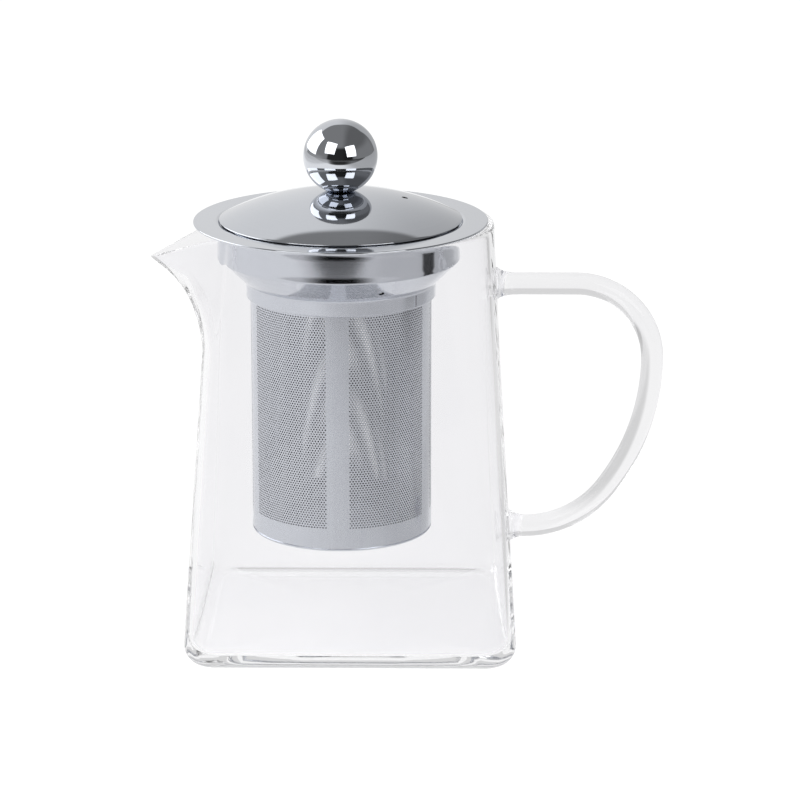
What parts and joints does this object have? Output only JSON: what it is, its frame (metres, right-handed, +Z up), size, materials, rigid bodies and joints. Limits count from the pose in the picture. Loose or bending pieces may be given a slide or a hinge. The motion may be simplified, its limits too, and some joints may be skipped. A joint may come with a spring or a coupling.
{
  "type": "glass teapot with strainer",
  "caption": "Clear glass teapot with a square foot, round neck, pulled beak and rod handle, holding a lift-out perforated steel strainer under a domed steel lid with a ball knob.",
  "frame": {"origin": "middle of the foot, on the surface that the pot stands on", "axes": "+Z up along the pot's axis, +X from the axis towards the handle, -X towards the beak, Y across"},
  "size_m": [0.1403, 0.0898, 0.1419],
  "materials": {
    "clear_glass": "clear borosilicate, fire-polished",
    "polished_steel": "polished stainless steel sheet",
    "strainer_steel": "etched stainless steel sheet, satin",
    "mirror_steel": "mirror-polished stainless steel",
    "fastener_steel": "plain stainless steel"
  },
  "bodies": {
    "pot": {"glass_body": "clear_glass", "glass_handle": "clear_glass"},
    "strainer": {"strainer_collar": "polished_steel", "strainer_sleeve": "strainer_steel", "strainer_bottom": "strainer_steel"},
    "lid": {"lid_cover": "polished_steel", "lid_skirt": "polished_steel", "knob_ball": "mirror_steel", "knob_screw": "fastener_steel", "knob_washer": "fastener_steel"}
  },
  "joints": [
    {"name": "strainer_lift", "type": "slide", "parent": "pot", "child": "strainer", "axis": [0, 0, 1], "range_m": [0, 0.1]},
    {"name": "lid_lift", "type": "slide", "parent": "strainer", "child": "lid", "axis": [0, 0, 1], "range_m": [0, 0.05]}
  ]
}
